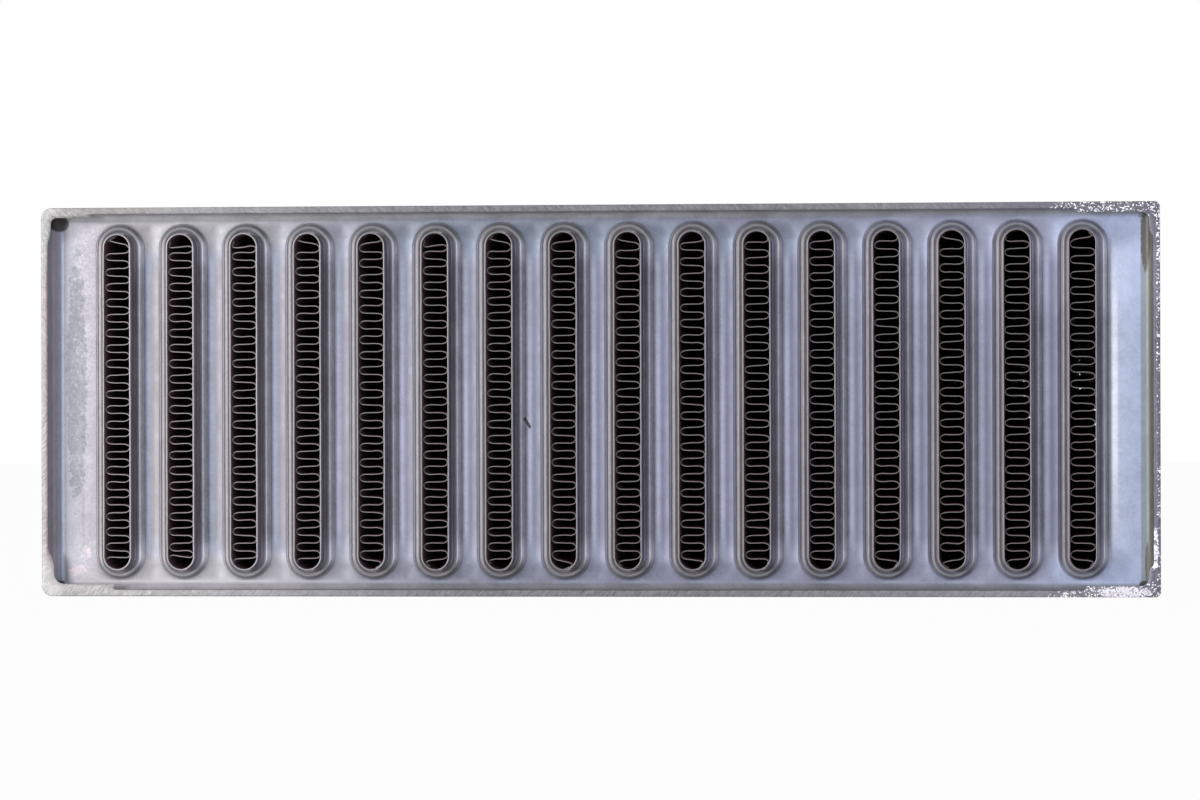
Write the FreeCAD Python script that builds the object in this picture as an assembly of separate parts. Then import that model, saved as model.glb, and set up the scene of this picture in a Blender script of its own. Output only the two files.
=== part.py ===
"""Brazed tube-and-fin intercooler core, without its tanks.

Two header plates are joined by a row of flat tubes. Each tube holds a folded turbulator, a folded air fin fills each gap
beside a tube, and a side plate closes each end of the stack. X runs along the stack, Y along the tubes from the front
header at -Y to the rear header at +Y, and Z is up. The core rests on the long lower edges of its two headers. The origin
is on the surface that it rests on, under the middle of the core. All sizes are in millimetres.
"""

import FreeCAD, Part
import math
import os

# Tubes
TUBE_COUNT = 16
TUBE_WIDTH = 8.0
TUBE_HEIGHT = 94.6
TUBE_WALL = 0.45
TUBE_STAND = 3.8  # how far a tube's end stands out of its collar
END_FLATS = 6  # flats in each half-round slot end, few because the slots repeat so often

# Folded strips
TURBULATOR_SHEET = 0.25
TURBULATOR_LEGS = 42
TURBULATOR_SET_BACK = 1.5  # from a tube's end to the strip's edge
FIN_SHEET = 0.2
FIN_LEGS = 16  # each stands for several of the real, finer folds
FIN_INSET = 1.0  # from the rounded edge of a tube to the fin's edge
FIN_END_GAP = 3.0  # from the back of a header to the fin's end

# Stack
CORE_LENGTH = 240.0  # between the backs of the two headers
AIR_GAP = 10.0  # between two tubes
BRAZE_GAP = 0.05  # left between pieces that are brazed together

# Header plates
HEADER_SHEET = 1.8
RIM_HEIGHT = 6.8  # from the floor of the tray to the top of its sides
RIM_BEND = 2.4  # inside radius of the fold at the foot of each side
RIM_CORNER = 2.5  # outside radius of the welded and ground corners
COLLAR_HEIGHT = 2.2
COLLAR_LAND = 1.5  # width of a collar's flat crest
COLLAR_FLANK = 1.2  # how far a collar's flank spreads from its crest to its foot
BELL_DEPTH = 2.0  # tapered entry pressed into the back of each collar
BELL_SPREAD = 1.6
FLOOR_STRIP = 0.25  # flat floor left between a collar's foot and the fold of the rim

# Side plates
PLATE_SHEET = 1.5
PLATE_BEND = 1.2  # size of the flat inside each fold
PLATE_FLANGE = 4.0  # how far a flange stands out from the web
PLATE_SET_IN = 1.8  # from a flange's edge to the end of the header

SAME_PLACE = 0.001  # edges nearer than this to a plane are taken to lie in it

# Places that follow from the sizes above
TUBE_PITCH = TUBE_WIDTH + AIR_GAP
STACK_LENGTH = TUBE_COUNT * TUBE_PITCH + AIR_GAP
COLLAR_REACH = BRAZE_GAP + COLLAR_LAND + COLLAR_FLANK
HEADER_LENGTH = STACK_LENGTH + 2 * (PLATE_SHEET + PLATE_FLANGE + PLATE_SET_IN)
HEADER_HEIGHT = TUBE_HEIGHT + 2 * (COLLAR_REACH + FLOOR_STRIP + RIM_BEND + HEADER_SHEET)
MIDDLE = HEADER_HEIGHT / 2
BACK_Y = -CORE_LENGTH / 2
FLOOR_Y = BACK_Y - HEADER_SHEET
CREST_Y = FLOOR_Y - COLLAR_HEIGHT
TUBE_END_Y = CREST_Y - TUBE_STAND
RIM_Y = FLOOR_Y - RIM_HEIGHT


def point(x, y, z):
    """A point of the model."""
    return FreeCAD.Vector(x, y, z)


def tube_x(number):
    """The middle of a tube, counted from 0 at the -X end of the stack."""
    return (number - (TUBE_COUNT - 1) / 2) * TUBE_PITCH


def gap_x(number):
    """The middle of an air gap, counted from 0 at the -X end of the stack."""
    return (number - TUBE_COUNT / 2) * TUBE_PITCH


def flat_face(ring):
    """The flat face inside a ring of points."""
    return Part.Face(Part.makePolygon(ring + ring[:1]))


def slot_ring(x, y, grow):
    """The points of a tube's outline, made larger all round by grow, at one place along the tubes."""
    radius = TUBE_WIDTH / 2 + grow
    straight = (TUBE_HEIGHT - TUBE_WIDTH) / 2
    turns = [math.pi * step / END_FLATS for step in range(END_FLATS + 1)]
    upper = [(radius * math.cos(turn), straight + radius * math.sin(turn)) for turn in turns]
    lower = [(-across, -up) for across, up in upper]
    return [point(x + across, y, MIDDLE + up) for across, up in upper + lower]


def slot_block(x, start_y, start_grow, end_y, end_grow):
    """A block with a tube's outline, made larger by one amount at its start and by another at its end."""
    start = slot_ring(x, start_y, start_grow)
    end = slot_ring(x, end_y, end_grow)
    faces = [flat_face(start), flat_face(end)]
    for i in range(len(start)):
        faces.append(flat_face([start[i - 1], start[i], end[i], end[i - 1]]))
    return Part.makeSolid(Part.makeShell(faces))


def folded_block(length, height, back_y, fold, corner):
    """A block in front of back_y, rounded by fold along its four edges there and by corner at its upright edges."""
    block = Part.makeBox(length, back_y - RIM_Y, height, point(-length / 2, RIM_Y, MIDDLE - height / 2))
    shaped = block
    for direction, radius in ((point(1, 0, 0), fold), (point(0, 0, 1), fold), (point(0, 1, 0), corner)):
        edges = [edge for edge in block.Edges if abs(edge.tangentAt(0).dot(direction)) > 0.5]
        edges = [edge for edge in edges if edge.CenterOfMass.y > block.CenterOfMass.y - SAME_PLACE]
        if radius:
            shaped = shaped.common(block.makeFillet(radius, edges))
    return shaped


def header_tray():
    """The folded sheet of the front header, without its collars."""
    outside = folded_block(HEADER_LENGTH, HEADER_HEIGHT, BACK_Y, RIM_BEND + HEADER_SHEET, RIM_CORNER)
    inner_length = HEADER_LENGTH - 2 * HEADER_SHEET
    inner_height = HEADER_HEIGHT - 2 * HEADER_SHEET
    return outside.cut(folded_block(inner_length, inner_height, FLOOR_Y, RIM_BEND, 0))


def front_header():
    """The header at -Y: a folded tray with a collar pressed out of its floor for each tube."""
    header = header_tray()
    collars = []
    holes = []
    for number in range(TUBE_COUNT):
        x = tube_x(number)
        collars.append(slot_block(x, FLOOR_Y, COLLAR_REACH, CREST_Y, BRAZE_GAP + COLLAR_LAND))
        bell_y = BACK_Y - BELL_DEPTH
        holes.append(slot_block(x, BACK_Y, BRAZE_GAP + BELL_SPREAD, bell_y, BRAZE_GAP))
        holes.append(slot_block(x, bell_y, BRAZE_GAP, CREST_Y, BRAZE_GAP))
    return header.fuse(collars).cut(holes).removeSplitter()


def tube(x):
    """One flat tube, open at both ends."""
    outside = slot_block(x, TUBE_END_Y, 0, -TUBE_END_Y, 0)
    return outside.cut(slot_block(x, TUBE_END_Y, -TUBE_WALL, -TUBE_END_Y, -TUBE_WALL))


def folded_strip(width, length, legs, sheet):
    """A flat ring of points for a zigzag strip: width is across the legs, and the legs follow each other along length.

    Each fold comes to a mitred point. The sharp tip outside a fold lies reach beyond the one inside it, which keeps the
    sheet's thickness true along every leg.
    """
    step = length / legs
    thick = sheet * sheet
    slope = width * thick
    spread = (step * step - thick) * thick * (width * width + step * step)
    reach = (math.sqrt(slope * slope + spread) - slope) / (step * step - thick)
    left = []
    right = []
    for fold in range(legs + 1):
        along = fold * step - length / 2
        outward = fold % 2
        left.append((-width / 2 if not outward else width / 2 - reach, along))
        right.append((-width / 2 + reach if not outward else width / 2, along))
    return left + right[::-1]


def turbulator(x):
    """The folded strip inside one tube, with its folds stacked up the tube's flat sides."""
    width = TUBE_WIDTH - 2 * (TUBE_WALL + BRAZE_GAP)
    start_y = TUBE_END_Y + TURBULATOR_SET_BACK
    ring = folded_strip(width, TUBE_HEIGHT - TUBE_WIDTH, TURBULATOR_LEGS, TURBULATOR_SHEET)
    section = flat_face([point(x + across, start_y, MIDDLE + up) for across, up in ring])
    return section.extrude(point(0, -2 * start_y, 0))


def air_fin(x):
    """The folded strip in one air gap, with its folds following each other along the tubes."""
    depth = TUBE_HEIGHT - 2 * FIN_INSET
    ring = folded_strip(AIR_GAP - 2 * BRAZE_GAP, CORE_LENGTH - 2 * FIN_END_GAP, FIN_LEGS, FIN_SHEET)
    section = flat_face([point(x + across, along, MIDDLE - depth / 2) for across, along in ring])
    return section.extrude(point(0, 0, depth))


def channel_block(start_x, half_height, cut):
    """A block from start_x out to the edge of the flanges, with its two long corners at start_x cut off."""
    start_y = BACK_Y + BRAZE_GAP
    length_x = STACK_LENGTH / 2 + PLATE_SHEET + PLATE_FLANGE - start_x
    start = point(start_x, start_y, MIDDLE - half_height)
    block = Part.makeBox(length_x, -2 * start_y, 2 * half_height, start)
    corners = [edge for edge in block.Edges if abs(edge.tangentAt(0).y) > 0.5]
    corners = [edge for edge in corners if edge.CenterOfMass.x < start_x + SAME_PLACE]
    return block.makeChamfer(cut, corners)


def side_plate(side):
    """The folded channel outside the last air fin, at -X when side is -1 and at +X when it is 1.

    Each fold is a flat that runs as thick as the rest of the sheet.
    """
    outer_cut = PLATE_BEND + PLATE_SHEET * (2 - math.sqrt(2))
    outside = channel_block(STACK_LENGTH / 2, TUBE_HEIGHT / 2, outer_cut)
    hollow = channel_block(STACK_LENGTH / 2 + PLATE_SHEET, TUBE_HEIGHT / 2 - PLATE_SHEET, PLATE_BEND)
    channel = outside.cut(hollow)
    return channel if side > 0 else channel.mirror(point(0, 0, 0), point(1, 0, 0))


def pieces():
    """Every piece of the core by its name."""
    header = front_header()
    found = {
        "front_header": header,
        "rear_header": header.mirror(point(0, 0, 0), point(0, 1, 0)),
        "side_plate_left": side_plate(-1),
        "side_plate_right": side_plate(1),
    }
    for number in range(TUBE_COUNT):
        found[f"tube_{number + 1:02d}"] = tube(tube_x(number))
        found[f"turbulator_{number + 1:02d}"] = turbulator(tube_x(number))
    for number in range(TUBE_COUNT + 1):
        found[f"air_fin_{number + 1:02d}"] = air_fin(gap_x(number))
    return found


os.makedirs("parts", exist_ok=True)
for name, shape in pieces().items():
    shape.exportStep(f"parts/{name}.step")
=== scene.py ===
"""Looks of a brazed tube-and-fin intercooler core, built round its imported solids."""

import logging
import math
from dataclasses import dataclass, field
from enum import Enum
from typing import Any, Callable, Sequence

import bmesh
import bpy
from mathutils import Matrix, Vector


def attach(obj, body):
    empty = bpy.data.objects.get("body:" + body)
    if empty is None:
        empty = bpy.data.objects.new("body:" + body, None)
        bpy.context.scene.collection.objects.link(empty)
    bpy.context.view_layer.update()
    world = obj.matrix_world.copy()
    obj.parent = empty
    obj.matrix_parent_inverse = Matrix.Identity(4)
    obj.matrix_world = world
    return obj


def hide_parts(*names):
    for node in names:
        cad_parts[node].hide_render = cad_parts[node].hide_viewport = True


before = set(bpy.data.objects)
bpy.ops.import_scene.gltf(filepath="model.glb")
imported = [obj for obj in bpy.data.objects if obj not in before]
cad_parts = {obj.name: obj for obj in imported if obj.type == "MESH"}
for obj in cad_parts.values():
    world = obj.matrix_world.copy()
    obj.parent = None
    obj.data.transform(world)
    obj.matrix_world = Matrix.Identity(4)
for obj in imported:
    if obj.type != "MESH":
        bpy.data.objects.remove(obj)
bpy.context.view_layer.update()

log = logging.getLogger("core")

MM = 0.001
TUBE_COUNT = 16
TUBE_PITCH = 18.0
MIDDLE_Z = 54.5
TUBE_HALF_WIDTH = 4.0
TUBE_HALF_HEIGHT = 47.3

# Depths of the headers, measured from the middle of the core
BACK_Y = 120.0
FLOOR_Y = 121.8
COLLAR_TOP_Y = 124.3  # just past the collars' crests
TUBE_END_Y = 127.8
RIM_Y = 128.6

# Edges of the flat floor as the photograph shows it
FLOOR_LEFT = -152.1
FLOOR_RIGHT = 150.9
FLOOR_HALF_HEIGHT = 50.3
COLLARS_END = 142.0  # outer foot of the end collars

SPREAD_FROM = 1.3  # the part of a collar past this distance from its tube follows the spread
SAME_POINT = 0.000002  # metres: points nearer than this are one
ROUND_OFF = 0.0001  # added to a quotient before it is cut to a whole number
CORNER_STEPS = 12  # steps round each corner of an outline


class Side(Enum):
    """The two ends of the core, by the sign of Y."""

    FRONT = -1
    REAR = 1


class Lay(Enum):
    """How a piece that is drawn lying flat is turned, by the way that its depth then runs."""

    ALONG_TUBES = (math.radians(90.0), 0.0, 0.0)
    UPRIGHT = (0.0, 0.0, 0.0)


def math_node(operation: str, swapped: bool = False) -> Callable:
    """A method that adds one Math node.

    Args:
        operation: The node's operation.
        swapped: Whether the operands change places, as a reflected operator needs.

    Returns:
        The method. It takes up to one more operand, and gives the node's result.
    """

    def method(self: "Value", *others: Any) -> "Value":
        """Adds the node and gives its result."""
        values = (*others, self) if swapped else (self, *others)
        return self.graph.node("ShaderNodeMath", {"operation": operation}, dict(enumerate(values)))

    return method


class Value:
    """A socket of a node tree, with the arithmetic that its Math nodes do."""

    __add__ = __radd__ = math_node("ADD")
    __mul__ = __rmul__ = math_node("MULTIPLY")
    __sub__ = math_node("SUBTRACT")
    __rsub__ = math_node("SUBTRACT", swapped=True)
    __truediv__ = math_node("DIVIDE")
    __mod__ = math_node("FLOORED_MODULO")
    __abs__ = math_node("ABSOLUTE")
    __lt__ = math_node("LESS_THAN")
    __gt__ = math_node("GREATER_THAN")
    most = math_node("MAXIMUM")
    least = math_node("MINIMUM")
    floor = math_node("FLOOR")
    sine = math_node("SINE")
    cosine = math_node("COSINE")
    power = math_node("POWER")

    def __init__(self, graph: "Graph", socket: Any) -> None:
        """Keeps the socket and the graph that it belongs to."""
        self.graph = graph
        self.socket = socket

    def unit(self) -> "Value":
        """Held between 0 and 1."""
        return self.most(0.0).least(1.0)

    def rise(self, low: float, high: float) -> "Value":
        """A smooth step from 0 at low to 1 at high."""
        settings = {"interpolation_type": "SMOOTHSTEP"}
        return self.graph.node("ShaderNodeMapRange", settings, {0: self, 1: low, 2: high, 3: 0.0, 4: 1.0})

    def fall(self, low: float, high: float) -> "Value":
        """A smooth step from 1 at low to 0 at high."""
        return 1.0 - self.rise(low, high)

    def band(self, start: float, full: float, fading: float, end: float) -> "Value":
        """1 between full and fading, and 0 before start and after end."""
        return self.rise(start, full) * self.fall(fading, end)

    def near(self, middle: float, inner: float, outer: float) -> "Value":
        """1 within inner of middle, and 0 beyond outer of it."""
        return abs(self - middle).fall(inner, outer)


class Graph:
    """A node tree that is filled by calls."""

    def __init__(self, tree: Any) -> None:
        """Keeps the tree."""
        self.tree = tree

    def node(self, kind: str, settings: dict, inputs: dict, output: Any = 0) -> Value:
        """Adds a node.

        Args:
            kind: The node's type.
            settings: Its own settings.
            inputs: Values or links by the name or number of the socket.
            output: The name or number of the output that is wanted.

        Returns:
            That output.
        """
        made = self.tree.nodes.new(kind)
        for key, setting in settings.items():
            setattr(made, key, setting)
        for key, given in inputs.items():
            self.put(made.inputs[key], given)
        return Value(self, made.outputs[output])

    def put(self, socket: Any, given: Any) -> None:
        """Links or sets one input.

        Args:
            socket: The input.
            given: A Value to link, several Values for a socket that takes many, or a plain setting.
        """
        if isinstance(given, Value):
            self.tree.links.new(given.socket, socket)
        elif isinstance(given, list) and given and isinstance(given[0], Value):
            for one in reversed(given):
                self.tree.links.new(one.socket, socket)
        else:
            socket.default_value = given

    def vector(self, x: Any, y: Any, z: Any) -> Value:
        """A vector from three numbers."""
        return self.node("ShaderNodeCombineXYZ", {}, {0: x, 1: y, 2: z})

    def split(self, vector: Value) -> tuple:
        """A vector's three numbers."""
        first = self.node("ShaderNodeSeparateXYZ", {}, {0: vector})
        return tuple(Value(self, one) for one in first.socket.node.outputs)


# ---- Geometry trees


@dataclass(frozen=True)
class Knob:
    """One named input of a geometry tree."""

    name: str
    kind: str
    start: Any = None


class ShapeTree(Graph):
    """A geometry node tree with named inputs."""

    def __init__(self, name: str, knobs: Sequence[Knob]) -> None:
        """Makes the tree and its interface.

        Args:
            name: The tree's name.
            knobs: Its inputs after the geometry.
        """
        super().__init__(bpy.data.node_groups.new(name, "GeometryNodeTree"))
        faces = self.tree.interface
        faces.new_socket("Geometry", in_out="INPUT", socket_type="NodeSocketGeometry")
        faces.new_socket("Geometry", in_out="OUTPUT", socket_type="NodeSocketGeometry")
        self.identifiers: dict = {}
        for knob in knobs:
            made = faces.new_socket(knob.name, in_out="INPUT", socket_type="NodeSocket" + knob.kind)
            if knob.start is not None:
                made.default_value = knob.start
            self.identifiers[knob.name] = made.identifier
        self.entry = self.tree.nodes.new("NodeGroupInput")

    def knob(self, name: str) -> Value:
        """One of the tree's inputs."""
        return Value(self, self.entry.outputs[name])

    def knobs(self, *names: str) -> list:
        """Several of the tree's inputs."""
        return [self.knob(name) for name in names]

    def index(self) -> Value:
        """The index of each element."""
        return self.node("GeometryNodeInputIndex", {}, {})

    def place(self) -> Value:
        """The position of each element."""
        return self.node("GeometryNodeInputPosition", {}, {})

    def count(self, mesh: Value) -> Value:
        """How many points a mesh has."""
        settings = {"component": "MESH"}
        return self.node("GeometryNodeAttributeDomainSize", settings, {0: mesh}, "Point Count")

    def sample(self, mesh: Value, field_value: Value, index: Value, kind: str) -> Value:
        """Reads a field of another mesh.

        Args:
            mesh: The mesh that is read.
            field_value: What is read from it.
            index: Which of its points.
            kind: The field's data type.

        Returns:
            The value read.
        """
        settings = {"data_type": kind, "domain": "POINT"}
        return self.node("GeometryNodeSampleIndex", settings, {0: mesh, "Value": field_value, "Index": index})

    def moved(self, shape: Value, place: Any = (0.0, 0.0, 0.0), turn: Any = (0.0, 0.0, 0.0)) -> Value:
        """A shape turned, then moved."""
        return self.node("GeometryNodeTransform", {}, {0: shape, "Translation": place, "Rotation": turn})

    def joined(self, *shapes: Value) -> Value:
        """Several shapes as one."""
        return self.node("GeometryNodeJoinGeometry", {}, {0: list(shapes)})

    def noise(self, place: Value, scale: float, detail: float = 2.0) -> Value:
        """Noise about zero, at most a half either way."""
        inputs = {"Vector": place, "Scale": scale, "Detail": detail}
        return self.node("ShaderNodeTexNoise", {"noise_dimensions": "3D"}, inputs) - 0.5

    def ring(self, path: Value, section: Value, half: Sequence, corner: Any, uneven: Any, seed: Any) -> Value:
        """Carries a section round a rounded outline in the XY plane, with Z as depth.

        Args:
            path: Points that hold how far they are across and up, from -1 to 1, with their angle between, and the
                attributes weld, corner and spread.
            section: Points that hold how far outwards, how deep and how strongly the weld moves them.
            half: Half the outline's width and height.
            corner: The outline's corner radius.
            uneven: How far noise moves the section's soft points.
            seed: Shifts that noise.

        Returns:
            The mesh, closed where the outline meets itself.
        """
        steps = self.count(section)
        grid = self.node("GeometryNodeMeshGrid", {}, {"Vertices X": self.count(path), "Vertices Y": steps})
        along = (self.index() / steps + ROUND_OFF).floor()
        across = self.index() - along * steps
        sign_x, angle, sign_y = self.split(self.sample(path, self.place(), along, "FLOAT_VECTOR"))
        outward, depth, soft = self.split(self.sample(section, self.place(), across, "FLOAT_VECTOR"))
        kept = []
        for name in ("weld", "corner", "spread"):
            stored = self.node("GeometryNodeInputNamedAttribute", {"data_type": "FLOAT"}, {"Name": name})
            kept.append(self.sample(path, stored, along, "FLOAT"))
        weld, rounder, spread = kept
        spot = self.vector(sign_x * half[0] * 1000.0, sign_y * half[1] * 1000.0, depth * 1000.0 + seed)
        shift = (weld + self.noise(spot, 0.35) * uneven) * soft
        grown = outward - shift + (outward - SPREAD_FROM * MM).most(0.0) * spread
        radius = (grown + corner + rounder).most(weld * soft * 1.6 + 0.00005)
        x = sign_x * (grown + half[0] - radius) + radius * angle.cosine()
        y = sign_y * (grown + half[1] - radius) + radius * angle.sine()
        placed = self.node("GeometryNodeSetPosition", {}, {0: grid, "Position": self.vector(x, y, depth)})
        return self.node("GeometryNodeMergeByDistance", {}, {0: placed, "Distance": SAME_POINT})

    def finish(self, shape: Value) -> None:
        """Puts the shape in its place, dresses it and ends the tree with it.

        Args:
            shape: The finished shape.
        """
        placed = self.moved(shape, *self.knobs("Place", "Turn"))
        real = self.node("GeometryNodeRealizeInstances", {}, {0: placed})
        dressed = self.node("GeometryNodeSetMaterial", {}, {0: real, "Material": self.knob("Material")})
        leave = self.tree.nodes.new("NodeGroupOutput")
        self.tree.links.new(dressed.socket, leave.inputs[0])


RING_KNOBS = (
    Knob("Half Width", "Float"),
    Knob("Half Height", "Float"),
    Knob("Corner", "Float"),
    Knob("Uneven", "Float", 0.0),
    Knob("Seed", "Float", 0.0),
)
PLACE_KNOBS = (Knob("Place", "Vector"), Knob("Turn", "Vector"), Knob("Material", "Material"))


def object_mesh(tree: ShapeTree, name: str) -> Value:
    """The mesh of the object given to one of a tree's inputs."""
    return tree.node("GeometryNodeObjectInfo", {"transform_space": "ORIGINAL"}, {0: tree.knob(name)}, "Geometry")


def header_tree() -> ShapeTree:
    """A folded tray whose floor has a row of collars.

    Returns:
        The tree. Its geometry is the rim's path.
    """
    extra = [Knob(name, "Object") for name in ("Rim Section", "Collar Path", "Collar Section")]
    sizes = ("Pitch", "Floor Depth", "Back Depth", "Tube Half Width", "Tube Half Height")
    extra += [Knob("Count", "Int", TUBE_COUNT), *(Knob(name, "Float") for name in sizes)]
    tree = ShapeTree("header_plate", [*RING_KNOBS, *extra, *PLACE_KNOBS])
    *half, corner, uneven, seed = tree.knobs(*(knob.name for knob in RING_KNOBS))
    rim = tree.ring(tree.knob("Geometry"), object_mesh(tree, "Rim Section"), half, corner, uneven, seed)
    slot = tree.knobs("Tube Half Width", "Tube Half Height")
    path = object_mesh(tree, "Collar Path")
    collar = tree.ring(path, object_mesh(tree, "Collar Section"), slot, slot[0], uneven, seed)
    count, pitch = tree.knobs("Count", "Pitch")
    first = tree.vector((count - 1.0) * pitch * -0.5, 0.0, 0.0)
    row = {"Count": count, "Start Location": first, "Offset": tree.vector(pitch, 0.0, 0.0)}
    places = tree.node("GeometryNodeMeshLine", {"mode": "OFFSET"}, row)
    copies = tree.node("GeometryNodeInstanceOnPoints", {}, {"Points": places, "Instance": collar})
    open_shell = tree.joined(rim, tree.node("GeometryNodeRealizeInstances", {}, {0: copies}))
    sheets = []
    for name in ("Floor Depth", "Back Depth"):
        lone = tree.node("GeometryNodeInputMeshEdgeNeighbors", {}, {}) < 1.5
        level = abs(tree.split(tree.place())[2] - tree.knob(name)) < 0.00001
        edges = tree.node("GeometryNodeMeshToCurve", {}, {0: open_shell, "Selection": lone * level})
        sheet = tree.node("GeometryNodeFillCurve", {}, {0: edges})
        sheets.append(tree.moved(sheet, tree.vector(0.0, 0.0, tree.knob(name))))
    whole = tree.joined(open_shell, *sheets)
    whole = tree.node("GeometryNodeMergeByDistance", {}, {0: whole, "Distance": 2 * SAME_POINT})
    tree.finish(whole)
    return tree


def tube_tree() -> ShapeTree:
    """A section carried round a slot-shaped outline.

    Returns:
        The tree. Its geometry is the outline's path.
    """
    tree = ShapeTree("slot_tube", [*RING_KNOBS, Knob("Section", "Object"), *PLACE_KNOBS])
    *half, corner, uneven, seed = tree.knobs(*(knob.name for knob in RING_KNOBS))
    wall = tree.ring(tree.knob("Geometry"), object_mesh(tree, "Section"), half, corner, uneven, seed)
    tree.finish(wall)
    return tree


def strip_tree() -> ShapeTree:
    """A strip folded to and fro, with rounded folds.

    Returns:
        The tree. Its geometry isn't used.
    """
    names = ("Reach", "Length", "Fold Reach", "Sheet", "Depth", "Uneven", "Seed", "Bow", "Straight", "Lift", "Drop")
    knobs = [Knob("Legs", "Int", 42), Knob("Points", "Int", 14), *(Knob(name, "Float") for name in names)]
    tree = ShapeTree("folded_strip", [*knobs, *PLACE_KNOBS])
    legs, points, reach, length = tree.knobs("Legs", "Points", "Reach", "Length")
    fold, uneven, seed = tree.knobs("Fold Reach", "Uneven", "Seed")
    pitch = length / legs
    total = legs * points + 1.0
    line = tree.node("GeometryNodeMeshLine", {"mode": "OFFSET"}, {"Count": total, "Offset": (0.0001, 0.0, 0.0)})
    leg = (tree.index() / points + ROUND_OFF).floor()
    part = tree.index() / points - leg
    first = (part * 3.0).unit() * (math.pi / 2)
    last = (part * 3.0 - 2.0).unit() * (math.pi / 2)
    run = (part * 3.0 - 1.0).unit()
    side = 1.0 - (leg % 2.0) * 2.0
    x = (reach - fold) * (1.0 - run * 2.0) + fold * first.cosine() - fold * last.sine()
    up = (leg + first.sine() * 0.5 + (1.0 - last.cosine()) * 0.5) * pitch - length * 0.5
    by_leg = tree.noise(tree.vector(leg * 0.77, seed, 3.0), 1.7)
    lean = tree.noise(tree.vector(leg * 0.61, seed, 9.0), 1.3)
    ripple = tree.noise(tree.vector(x * 300.0, leg * 0.9, seed), 1.1)
    level = (first.sine() - last.sine()).unit()
    up = up + (by_leg * 0.8 + lean * (run - 0.5) * 1.8 + ripple * 0.9) * uneven * level
    last_leg, first_leg = (leg > legs - 1.5) * part.power(1.5), (leg < 0.5) * (1.0 - part).power(1.5)
    up = up + last_leg * tree.knob("Lift") - first_leg * tree.knob("Drop")
    over = (abs(up) - tree.knob("Straight")).most(0.0)
    limit = (reach * reach - over * over).most(0.0000001).power(0.5)
    side_x = side * x * (1.0 - abs(ripple) * uneven * 60.0)
    side_x = side_x.least(limit).most(limit * -1.0)
    laid = tree.node("GeometryNodeSetPosition", {}, {0: line, "Position": tree.vector(side_x, up, 0.0)})
    curve = tree.node("GeometryNodeMeshToCurve", {}, {0: laid})
    curve = tree.node("GeometryNodeSetCurveNormal", {"mode": "Z_UP"}, {0: curve})
    sizes = {"Width": tree.knob("Sheet"), "Height": tree.knob("Depth")}
    cut = tree.node("GeometryNodeCurvePrimitiveQuadrilateral", {}, sizes)
    cut = tree.node("GeometryNodeSubdivideCurve", {}, {0: cut, "Cuts": 1})
    body = tree.node("GeometryNodeCurveToMesh", {}, {0: curve, "Profile Curve": cut, "Fill Caps": True})
    _, here_y, here_z = tree.split(tree.place())
    inner = 1.0 - (here_y * 2.0 / length).power(2.0)
    bow = (1.0 - abs(here_z) * 2.0 / tree.knob("Depth")) * inner * tree.knob("Bow")
    body = tree.node("GeometryNodeSetPosition", {}, {0: body, "Offset": tree.vector(0.0, bow, 0.0)})
    tree.finish(body)
    return tree


def channel_tree() -> ShapeTree:
    """A sheet folded along a path, with rounded folds.

    Returns:
        The tree. Its geometry is the path.
    """
    knobs = [Knob("Fold", "Float"), Knob("Sheet", "Float"), Knob("Depth", "Float")]
    tree = ShapeTree("folded_channel", [*knobs, *PLACE_KNOBS])
    curve = tree.node("GeometryNodeMeshToCurve", {}, {0: tree.knob("Geometry")})
    curve = tree.node("GeometryNodeFilletCurve", {"mode": "POLY"}, {0: curve, "Count": 8, "Radius": tree.knob("Fold")})
    curve = tree.node("GeometryNodeSetCurveNormal", {"mode": "Z_UP"}, {0: curve})
    sizes = {"Width": tree.knob("Sheet"), "Height": tree.knob("Depth")}
    cut = tree.node("GeometryNodeCurvePrimitiveQuadrilateral", {}, sizes)
    body = tree.node("GeometryNodeCurveToMesh", {}, {0: curve, "Profile Curve": cut, "Fill Caps": True})
    tree.finish(body)
    return tree


# ---- Turning a tree's result into a plain piece


def chain(name: str, points: Sequence[Sequence[float]], **attributes: Sequence[float]) -> bpy.types.Object:
    """A row of joined points, as an object.

    Args:
        name: The object's name.
        points: The points, in metres or as the tree that reads them says.
        attributes: Numbers for each point, by name.

    Returns:
        The object, in the scene.
    """
    mesh = bpy.data.meshes.new(name)
    mesh.from_pydata([tuple(one) for one in points], [(i, i + 1) for i in range(len(points) - 1)], [])
    for key, numbers in attributes.items():
        mesh.attributes.new(key, "FLOAT", "POINT").data.foreach_set("value", list(numbers))
    made = bpy.data.objects.new(name, mesh)
    bpy.context.scene.collection.objects.link(made)
    return made


def grown(start: bpy.types.Object, name: str, tree: ShapeTree, settings: dict) -> bpy.types.Object:
    """Runs a tree on an object and keeps the result as a plain mesh.

    Args:
        start: The object whose mesh the tree begins with. It becomes the piece.
        name: The piece's name.
        tree: The geometry tree.
        settings: Its inputs by name.

    Returns:
        The finished piece, with its faces outwards and its hard edges marked.
    """
    modifier = start.modifiers.new("shape", "NODES")
    modifier.node_group = tree.tree
    for key, setting in settings.items():
        modifier[tree.identifiers[key]] = setting
    graph = bpy.context.evaluated_depsgraph_get()
    mesh = bpy.data.meshes.new_from_object(start.evaluated_get(graph), depsgraph=graph)
    start.modifiers.clear()
    old = start.data
    start.data = mesh
    bpy.data.meshes.remove(old)
    start.name = mesh.name = name
    close(mesh)
    return start


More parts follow.
